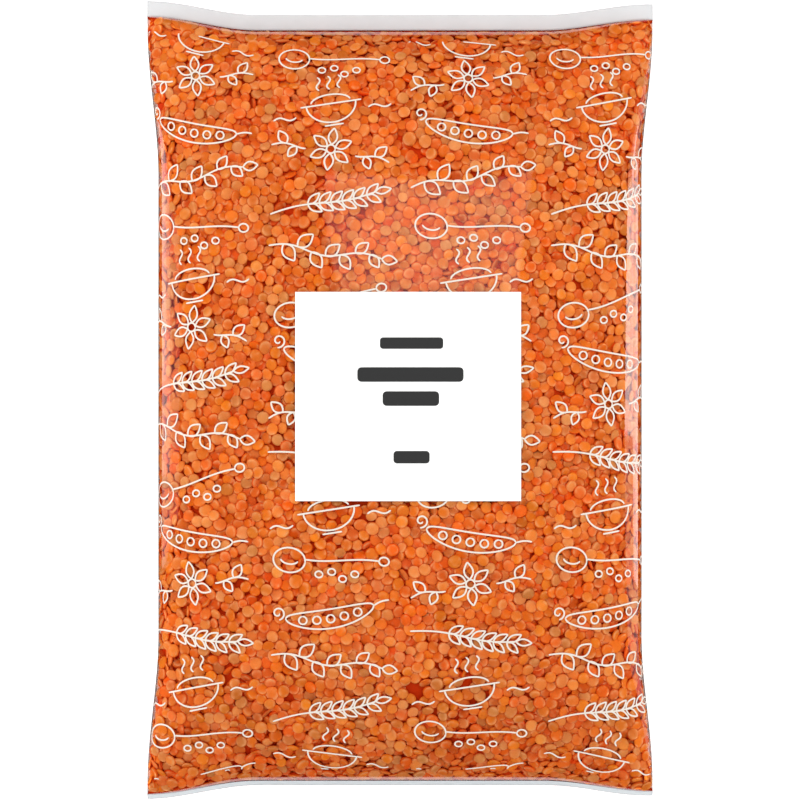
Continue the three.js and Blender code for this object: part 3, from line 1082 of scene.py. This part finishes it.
class BuildLabel(bpy.types.Operator):
    """Adds the square label and the plain bars on it"""

    bl_idname = "lentil_bag.label"
    bl_label = "Label"

    STEPS = 40
    BAR_STEPS = 31
    LOW = 0.3 * MM
    HIGH = 0.55 * MM
    INK_HEIGHT = 0.03 * MM
    CORNER = 0.28  # of a bar, as a share of its height
    BARS = (  # middle from the label's middle, then width and height, in shares of the label's
        (0.015, 0.255, 0.28, 0.055),
        (0.01, 0.105, 0.47, 0.07),
        (0.012, -0.01, 0.25, 0.07),
        (0.015, -0.29, 0.16, 0.06),
    )

    def on_label(self, film, x, y, lift):
        v = (y - film.shift) / (film.form.middle_length / 2)
        return np.stack([x, y, film.top(x, v) + lift], -1)

    def bar(self, film, x, y, width, height):
        """A field of ink with rounded ends."""
        along = np.sin(np.linspace(-np.pi / 2, np.pi / 2, self.BAR_STEPS)) * width / 2
        corner = height * self.CORNER
        tuck = np.clip((np.abs(along) - (width / 2 - corner)) / corner, 0, 1)
        half = height / 2 - corner * (1 - np.sqrt(1 - tuck**2))
        rows = np.array([-1, 0, 1])[:, None]
        grid = self.on_label(film, x + along + 0 * rows, y + half * rows, self.HIGH + self.INK_HEIGHT)
        return grid.reshape(-1, 3), grid_faces(3, len(along), False)

    def execute(self, context):
        film = Film(context.scene.bag_form)
        settings = context.scene.bag_label
        x = np.linspace(LABEL_LOW.x, LABEL_HIGH.x, self.STEPS + 1)
        y = np.linspace(LABEL_LOW.y, LABEL_HIGH.y, self.STEPS + 1)
        x, y = np.meshgrid(x, y)
        points, faces = slab(self.on_label(film, x, y, self.HIGH), self.on_label(film, x, y, self.LOW))
        paper = label_paper(settings.paper)
        make_piece("label_sheet", points, faces, paper, "label_paper", smooth=False, replaced=["label"])
        size = LABEL_HIGH - LABEL_LOW
        middle = (LABEL_HIGH + LABEL_LOW) / 2
        bars = []
        for across, up, width, height in self.BARS:
            at = middle.x + across * size.x, middle.y + up * size.y
            bars.append(self.bar(film, *at, width * size.x, height * size.y))
        make_piece("label_bars", *joined(bars), ink("dark_ink", settings.ink, roughness=0.5), "label_paper")
        return {"FINISHED"}


class BuildStage(bpy.types.Operator):
    """Adds the pale surface, the lights and the camera that looks straight down"""

    bl_idname = "lentil_bag.stage"
    bl_label = "Stage"

    FLOOR_SIDE = 3.6  # in metres, as every size here
    LIGHTS = (  # name, setting, place, width and height
        ("key", "key_power", (-0.1, 1.1, 3.6), (1.7, 1.7)),
        ("right_fill", "right_power", (1.4, 0, 0.7), (1.2, 0.9)),
        ("left_fill", "left_power", (-1.5, 0, 0.45), (1.2, 0.7)),
    )
    FACING_UP = (  # name, low and high corner, brightness
        ("right_card_near", (0.174, -0.1, 0.003), (0.26, 0.127, 0.003), 1.5),
        ("right_card_far", (0.26, -0.02, 0.003), (0.6, 0.155, 0.003), 2.3),
        ("right_card_long", (0.174, -0.21, 0.002), (0.6, 0.19, 0.002), 0.55),
        ("top_card", (-0.14, 0.208, 0.003), (0.14, 0.228, 0.003), 0.7),
        ("bottom_card", (-0.14, -0.228, 0.003), (0.14, -0.208, 0.003), 0.7),
    )
    UPRIGHT = (  # name, x, its stretch of y, height, brightness
        ("right_wall", 0.6, (-0.02, 0.175), 0.078, 2.7),
        ("right_wall_long", 0.61, (-0.21, 0.19), 0.078, 0.6),
    )
    # At the left and overhead, lights of several sizes overlap, so that what the film mirrors has soft edges
    LEFT = (  # low corner of a card and height of its wall
        ((-0.26, 0.01, 0.003), 0.07),
        ((-0.42, -0.04, 0.003), 0.12),
        ((-0.7, -0.09, 0.003), 0.18),
    )
    LEFT_HIGH_CORNER = (-0.172, 0.145, 0.003)
    LEFT_WALL_X = -0.7
    LEFT_WALL_END = 0.16
    LEFT_BRIGHTNESS = 0.57, 0.38  # of the cards and of the walls
    OVERHEAD = (-0.22, 0.18, 1.5), (0.62, 0.74, 1.5)
    OVERHEAD_INSETS = (0, 0.07, 0.14)
    OVERHEAD_BRIGHTNESS = 0.6

    def light(self, name, at, aim, size, power, mirrored):
        """A rectangular light. A mirrored one is only seen as a reflection, and the others never are."""
        data = bpy.data.lights.new(name, "AREA")
        data.shape = "RECTANGLE"
        data.size, data.size_y = size
        data.energy = power
        lamp = bpy.data.objects.new(name, data)
        bpy.context.scene.collection.objects.link(lamp)
        lamp.location = at
        lamp.rotation_euler = (Vector(aim) - Vector(at)).to_track_quat("-Z", "Y").to_euler()
        lamp.visible_camera = False
        lamp.visible_glossy = mirrored
        lamp.visible_diffuse = not mirrored

    def card(self, name, low, high, brightness, facing=1):
        """A level light that shows only in the film, between two corners, facing up (1) or down (-1)."""
        low, high = np.array(low), np.array(high)
        size = high - low
        middle = (low + high) / 2
        power = brightness * math.pi * size[0] * size[1]
        self.light(name, middle, middle + [0, 0, facing], size[:2], power, True)

    def wall(self, name, x, stretch, height, brightness):
        """An upright light that shows only in the film. It stands at x on the floor and faces the bag."""
        low, high = stretch
        at = np.array([x, (low + high) / 2, height / 2])
        power = brightness * math.pi * (high - low) * height
        self.light(name, at, at * [0, 1, 1], (high - low, height), power, True)

    def add_floor(self, settings):
        side = self.FLOOR_SIDE / 2
        corners = [(-side, -side, 0), (side, -side, 0), (side, side, 0), (-side, side, 0)]
        mesh = bpy.data.meshes.new("floor")
        mesh.from_pydata(corners, [], [(0, 1, 2, 3)])
        mesh.materials.append(floor_surface(settings.floor, settings.floor_glow))
        floor = bpy.data.objects.new("floor", mesh)
        bpy.context.scene.collection.objects.link(floor)
        floor.visible_glossy = False

    def add_lights(self, settings, aim):
        world = bpy.data.worlds.new("soft_surroundings")
        world.use_nodes = True
        background = world.node_tree.nodes["Background"]
        background.inputs["Color"].default_value = (1, 1, 1, 1)
        background.inputs["Strength"].default_value = settings.surroundings
        world.cycles_visibility.glossy = False
        bpy.context.scene.world = world
        for name, power, at, size in self.LIGHTS:
            self.light(name, at, aim, size, getattr(settings, power), False)
        for facts in self.FACING_UP:
            self.card(*facts)
        for facts in self.UPRIGHT:
            self.wall(*facts)
        of_card, of_wall = self.LEFT_BRIGHTNESS
        for k, (low, height) in enumerate(self.LEFT):
            self.card(f"left_card_{k}", low, self.LEFT_HIGH_CORNER, of_card)
            self.wall(f"left_wall_{k}", self.LEFT_WALL_X, (low[1], self.LEFT_WALL_END), height, of_wall)
        for k, inset in enumerate(self.OVERHEAD_INSETS):
            low, high = (np.array(corner) for corner in self.OVERHEAD)
            step = np.array([inset, inset, 0])
            self.card(f"overhead_card_{k}", low + step, high - step, self.OVERHEAD_BRIGHTNESS, facing=-1)

    def add_camera(self, settings, subject_height):
        data = bpy.data.cameras.new("camera")
        data.lens = data.sensor_width * (settings.camera_height - subject_height) / settings.frame_width
        data.clip_end = 20.0
        camera = bpy.data.objects.new("camera", data)
        camera.location = (0, 0, settings.camera_height)
        bpy.context.scene.collection.objects.link(camera)
        bpy.context.scene.camera = camera

    def execute(self, context):
        settings = context.scene.bag_stage
        waist_height = context.scene.bag_form.waist_height
        self.add_floor(settings)
        self.add_lights(settings, (0, 0, waist_height))
        self.add_camera(settings, waist_height)
        context.scene.view_settings.view_transform = "Standard"
        return {"FINISHED"}


class LentilBagPanel(bpy.types.Panel):
    """Lists the settings and the pieces"""

    bl_idname = "VIEW3D_PT_lentil_bag"
    bl_label = "Lentil Bag"
    bl_space_type = "VIEW_3D"
    bl_region_type = "UI"
    bl_category = "Lentil Bag"

    def draw(self, context):
        for name in SETTINGS:
            settings = getattr(context.scene, name)
            box = self.layout.box()
            for key in settings.__annotations__:
                box.prop(settings, key)
        for operator in OPERATORS:
            self.layout.operator(operator.bl_idname)


SETTINGS = {
    "bag_form": FormSettings,
    "bag_lentils": LentilSettings,
    "bag_print": PrintSettings,
    "bag_label": LabelSettings,
    "bag_stage": StageSettings,
}
OPERATORS = (BuildCore, BuildLentils, BuildFilm, BuildPrint, BuildSeals, BuildLabel, BuildStage)


def register():
    for name, settings in SETTINGS.items():
        bpy.utils.register_class(settings)
        setattr(bpy.types.Scene, name, PointerProperty(type=settings))
    for each in OPERATORS + (LentilBagPanel,):
        bpy.utils.register_class(each)


def unregister():
    for each in OPERATORS + (LentilBagPanel,):
        bpy.utils.unregister_class(each)
    for name, settings in SETTINGS.items():
        delattr(bpy.types.Scene, name)
        bpy.utils.unregister_class(settings)


def main():
    register()
    bpy.ops.lentil_bag.core()
    bpy.ops.lentil_bag.lentils()
    bpy.ops.lentil_bag.film()
    bpy.ops.lentil_bag.print()
    bpy.ops.lentil_bag.seals()
    bpy.ops.lentil_bag.label()
    bpy.ops.lentil_bag.stage()


if __name__ == "__main__":
    main()
